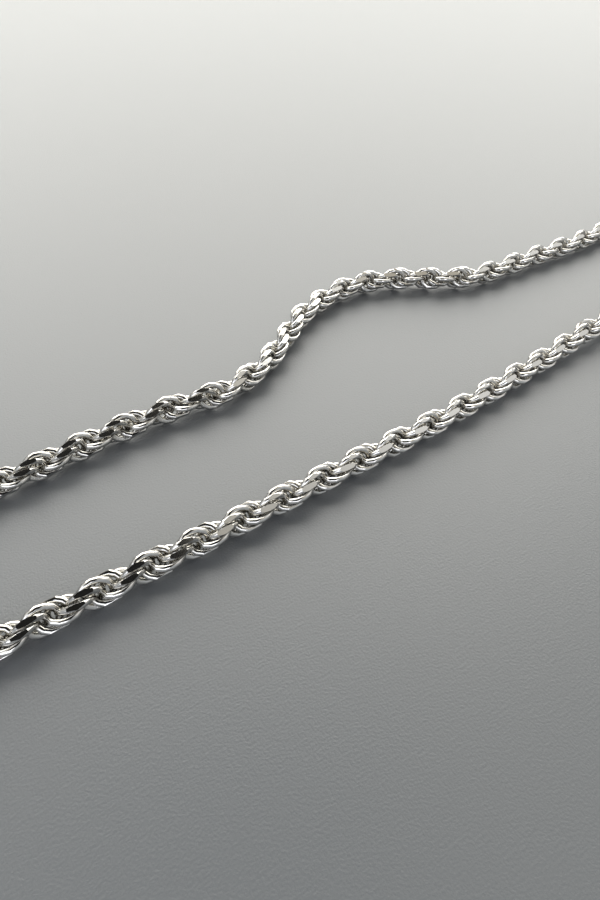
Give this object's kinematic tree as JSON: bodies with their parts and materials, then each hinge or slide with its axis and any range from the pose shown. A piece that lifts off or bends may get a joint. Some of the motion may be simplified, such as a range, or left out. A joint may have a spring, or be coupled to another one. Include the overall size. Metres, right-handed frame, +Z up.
{
  "type": "rope chain necklace",
  "caption": "Fastened neck chain laid flat in a long loop: a twisted rope of interlocked faceted silver links, with end caps, rings and a hook clasp.",
  "frame": {"origin": "centre of the loop's bounding box, on the surface that the chain rests on", "axes": "+X along the loop's long direction, +Y across the loop towards the strand with the wave, +Z up from the surface"},
  "size_m": [0.2406, 0.0492, 0.0059],
  "materials": {
    "rope_silver": "bright polished sterling silver with flat cut facets",
    "fastening_silver": "polished sterling silver"
  },
  "bodies": {
    "root": {"rope_chain": "rope_silver", "end_cap_ring_side": "fastening_silver", "end_cap_clasp_side": "fastening_silver", "jump_ring": "fastening_silver", "clasp": "fastening_silver"}
  },
  "joints": []
}
